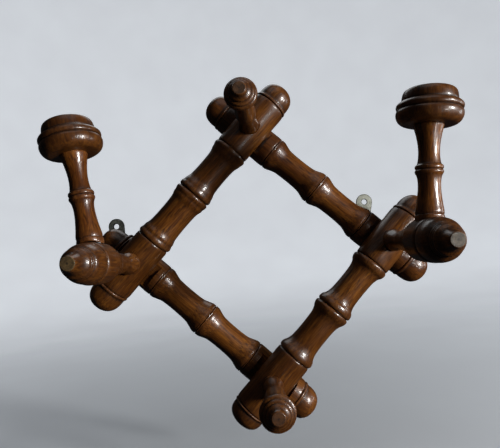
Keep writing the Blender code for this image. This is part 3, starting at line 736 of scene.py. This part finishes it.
def fit_saddle(mesh, drum, top):
    """Bends the foot of a stem down onto the round drum that it stands on."""
    for vertex in mesh.vertices:
        height = vertex.co.z / MM
        if height < top:
            seat = math.sqrt(max(drum ** 2 - (vertex.co.x / MM) ** 2, 0.0)) - drum
            share = (top - height) / (top - STEM_FOOT)
            vertex.co.z += (seat - STEM_SINK) * share * MM


def add_rest(side, shank, body, pitch, stem_scale, head_scale, seed, tone, tilt):
    """Stem and head of a hat rest; tilt is the head's lean beyond its stem's, to the right."""
    matrix = stem_matrix(shank, pitch)
    stem = turned_mesh("stem", [(spline(stem_outline(stem_scale), 1.0), None, ())], STEM_SEGMENTS, 0.06, seed)
    fit_saddle(stem, DRUM_RADIUS * stem_scale, 24.0)
    add("hat_stem_%s_visual" % side, stem, matrix, wood("hat_stem_%s_wood" % side, seed, tone, 1.02, 1.15),
        body, "stem_wood", "hat_stem_" + side)
    head = turned_mesh("head", [(spline(head_outline(head_scale), 1.1), None, ())], HEAD_SEGMENTS, 0.08,
                       seed + 1)
    material = wood("hat_head_%s_wood" % side, seed + 5, 1.0, 1.0, 1.05)
    seat = Matrix.Translation((0.0, 0.0, HEAD_SEAT * MM))
    leaning = matrix @ seat @ Matrix.Rotation(math.radians(tilt), 4, "Y") @ seat.inverted()
    add("hat_head_%s_visual" % side, head, leaning @ Matrix.Translation((0.0, 0.0, -HEAD_SINK * MM)),
        material, body, "stem_wood", "hat_head_" + side)


# ------------------------------------------------------------------ hangers
HANGING_HOLE = [(0, 3), (3.4, 3), (3.4, 0.05), (3.1, -0.3), (3.1, -1.7), (3.4, -2.05), (3.4, -5), (0, -5)]
COUNTERSINK = [(0, 1), (5.25, 1), (2.1, -2.0), (2.1, -5), (0, -5)]
SCREW = [(0, -0.12), (3.0, -0.14), (3.32, -0.22), (3.4, -0.4), (3.3, -0.6), (1.7, -2.0), (1.5, -2.6),
         (1.5, -12.0), (0, -15.0)]


def below(matrix, distance):
    """Frame on a plate's back at a distance below its hanging hole, Z out of the back."""
    return matrix @ Matrix.Translation((0, 0, -distance * MM)) @ Matrix.Rotation(math.radians(-90.0), 4, "X")


def add_hanger(side, seed, tone):
    """A let-in plate with its hanging hole, and its two slotted screws."""
    body = PLATES[side][0]
    matrix = plate_matrix(side)
    plate = prism(plate_outline(), -2.0, 0.0, 0.35)
    tools = [drill_mesh(HANGING_HOLE, below(Matrix.Identity(4), 0.0))]
    for distance in SCREW_PLACES:
        tools.append(drill_mesh(COUNTERSINK, below(Matrix.Identity(4), distance)))
    plate = cut(plate, tools)
    # tone scales the plate's colours; the left plate's high tone is painted light
    metal = old_metal("hanger_plate_%s_metal" % side, seed, tinted((0.40, 0.41, 0.35), tone),
                      tinted((0.16, 0.165, 0.13), tone), hole_shade_dark_rim=True)
    add("hanger_plate_%s_visual" % side, plate, matrix, metal, body, "plate_metal", "hanger_plate_" + side,
        sharp=30.0)
    for number, distance in enumerate(SCREW_PLACES, start=1):
        name = "hanger_screw_%s_%d" % (side, number)
        screw = turned_mesh(name, [(SCREW, None, ())], SCREW_SEGMENTS, 0.0)
        slot = box_mesh((-5, -0.4, -0.85), (5, 0.4, 1.0))
        slot.transform(Matrix.Rotation(math.radians(35.0 * number), 4, "Z"))
        screw = cut(screw, [slot])
        add(name + "_visual", screw, below(matrix, distance),
            old_metal(name + "_metal", seed + number, (0.30, 0.29, 0.26), (0.07, 0.06, 0.05), 0.9), body,
            "screw_metal", name, sharp=30.0)


# ------------------------------------------------------------------ stage
# Lengths of the stage and the lights are in metres.
FLOOR_RADIUS = 1.6
FOLD_DROP = 0.0425             # how far the bottom of the rack goes down when it folds narrow
COVE_RADIUS = 1.4
COVE_STEPS = 12
WALL_TOP = 5.0
LIT_CENTRE = Vector((0.0, -0.08, 0.0))    # what the lights point at


def stage_part(name, floor_z, material, start, end):
    """A sector of the pale round stage: floor, cove and wall between two angles."""
    outline = [(radius, 0.0) for radius in (0.0, 0.1, 0.2, 0.3, 0.45, 0.6, 0.8, 1.2, FLOOR_RADIUS)]
    for k in range(1, COVE_STEPS + 1):
        angle = math.pi / 2 * k / COVE_STEPS
        outline.append((FLOOR_RADIUS + COVE_RADIUS * math.sin(angle), COVE_RADIUS * (1 - math.cos(angle))))
    outline.append((FLOOR_RADIUS + COVE_RADIUS, WALL_TOP))
    segments = 48
    verts, faces, far = [], [], []
    for radius, height in outline:
        for k in range(segments + 1):
            angle = start + (end - start) * k / segments
            verts.append((radius * math.cos(angle), radius * math.sin(angle), floor_z + height))
            far.append(min(1.0, max(0.0, (radius + height - 0.15) / 2.2)))
    row = segments + 1
    for ring in range(len(outline) - 1):
        for k in range(segments):
            a = ring * row + k
            faces.append((a, a + row, a + row + 1, a + 1))
    mesh = bpy.data.meshes.new(name)
    mesh.from_pydata(verts, [], faces)
    layer = mesh.attributes.new("far", "FLOAT", "POINT")
    layer.data.foreach_set("value", np.array(far, np.float32))
    mesh.shade_smooth()
    mesh.materials.append(material)
    obj = new_object(name, mesh)
    obj.visible_glossy = False
    obj.visible_diffuse = False


def make_stage(floor_z):
    """Pale seamless floor that curves up into a far round wall, greyer near the middle; painted light makes it
    glow, dim near the rack and bright far off.
    """
    material, tree, shader, coords = new_material("pale_backdrop")
    speck = noise(tree, coords, 5.0, 3.0, (1, 1, 1), (0, 0, 0), 0.5)
    colour = ramp(tree, speck, ((0.3, (0.67, 0.70, 0.745)), (0.7, (0.70, 0.735, 0.78))))
    far = attribute(tree, "far")
    near = mixed(tree, ramp(tree, far, ((0.0, 0.45), (0.7, 0.0))), colour, (0.30, 0.315, 0.33))
    # painted light: emission from 0.03 near the rack up to 0.72 on the far wall, in place of a lit wall
    glow = ramp(tree, far, ((0.0, 0.03), (0.16, 0.15), (0.55, 0.50), (1.0, 0.72)))
    tree.links.new(near, shader.inputs["Base Color"])
    tree.links.new(colour, shader.inputs["Emission Color"])
    tree.links.new(glow, shader.inputs["Emission Strength"])
    shader.inputs["Roughness"].default_value = 0.85
    shader.inputs["Specular IOR Level"].default_value = 0.2
    stage_part("backdrop_behind", floor_z, material, 0.0, math.pi)
    stage_part("backdrop_before", floor_z, material, math.pi, TAU)


def area_light(name, azimuth, elevation, distance, size, power, colour):
    """Soft rectangular light seen from the rack at an azimuth right of the viewer and an elevation."""
    a, e = math.radians(azimuth), math.radians(elevation)
    way = Vector((math.sin(a) * math.cos(e), -math.cos(a) * math.cos(e), math.sin(e)))
    light = bpy.data.lights.new(name, "AREA")
    light.shape = "RECTANGLE"
    light.size, light.size_y = size
    light.energy = power
    light.color = colour
    obj = new_object(name, light)
    obj.location = LIT_CENTRE + way * distance
    obj.rotation_euler = (-way).to_track_quat("-Z", "Y").to_euler()
    obj.visible_camera = False


def make_lights():
    area_light("window", 57.0, 3.0, 1.6, (0.20, 0.34), 40.0, (1.0, 0.99, 0.975))
    area_light("window_edge", 95.0, 0.0, 1.5, (0.08, 0.40), 2.6, (0.95, 0.98, 1.0))
    area_light("near_pane", 44.0, 0.0, 0.42, (0.035, 0.05), 0.20, (1.0, 0.99, 0.97))
    area_light("ceiling", 10.0, 68.0, 1.7, (1.5, 1.2), 4.0, (0.92, 0.96, 1.0))
    area_light("rear_fill", 185.0, 55.0, 1.8, (1.4, 1.0), 7.0, (0.95, 0.98, 1.0))
    world = bpy.data.worlds.new("studio")
    bpy.context.scene.world = world
    world.use_nodes = True
    background = world.node_tree.nodes["Background"]
    background.inputs["Color"].default_value = (0.86, 0.92, 1.0, 1.0)
    background.inputs["Strength"].default_value = 0.016
    bpy.context.scene.view_settings.view_transform = "Standard"


def make_camera():
    right = Vector((0.99602535, 0.00896046, -0.08861841))
    down = Vector((-0.08906226, 0.08684978, -0.99223235))
    into = right.cross(down).normalized()
    rotation = Matrix((right, -down, -into)).transposed()
    camera = bpy.data.cameras.new("camera")
    camera.sensor_width = 36.0
    camera.lens = 31.68
    camera.clip_start = 0.02
    camera.clip_end = 20.0
    obj = new_object("camera", camera)
    obj.matrix_world = Matrix.Translation((-0.00845, -0.50861, -0.00974)) @ rotation.to_4x4()
    bpy.context.scene.camera = obj


# ------------------------------------------------------------------ build
make_bars()
add_peg("peg_top", TOP, "upper_rear", plain_outline(14.6, 113.0), 0.0, 3.9, -1.3, 8.2, 0.95,
        (0.050, 0.022, 0.008), 113.0, (-1.4, -1.3))
add_peg("peg_bottom", BOTTOM, "lower_rear", plain_outline(15.4, 107.5), 0.0, 0.0, 0.0, 9.7, 1.0,
        (0.050, 0.018, 0.004), 107.5)
left_shank = add_peg("peg_left", LEFT, "left_hat_rest", side_outline(0.97, 16.4), -8.1, 0.8, -0.3, 11.4, 1.0,
                     (0.078, 0.048, 0.018), SIDE_TIP)
right_shank = add_peg("peg_right", RIGHT, "right_hat_rest", side_outline(1.03, 17.0), 4.8, 0.8, 2.6, 13.9,
                      0.9, (0.078, 0.064, 0.049), SIDE_TIP)
# painted highlight: stem tones 1.75 on the left and 1.35 on the right make the stems' wood lighter than the
# rest, most on the left stem
add_rest("left", left_shank, "left_hat_rest", 1.2, 0.97, 0.99, 15.2, 1.75, -1.8)
add_rest("right", right_shank, "right_hat_rest", -2.0, 1.03, 1.01, 17.6, 1.35, 2.5)
# painted light: tone 2.2 makes the left plate's metal about 2.6 times lighter than the right plate's, a lit
# copy for the left plate, which lies in shade
add_hanger("left", 21.0, 2.2)
add_hanger("right", 24.0, 0.85)

bpy.context.view_layer.update()
VISUAL_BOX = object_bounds()
make_stage(min(CAD_BOX[0][2], VISUAL_BOX[0][2]) - FOLD_DROP)
make_lights()
make_camera()
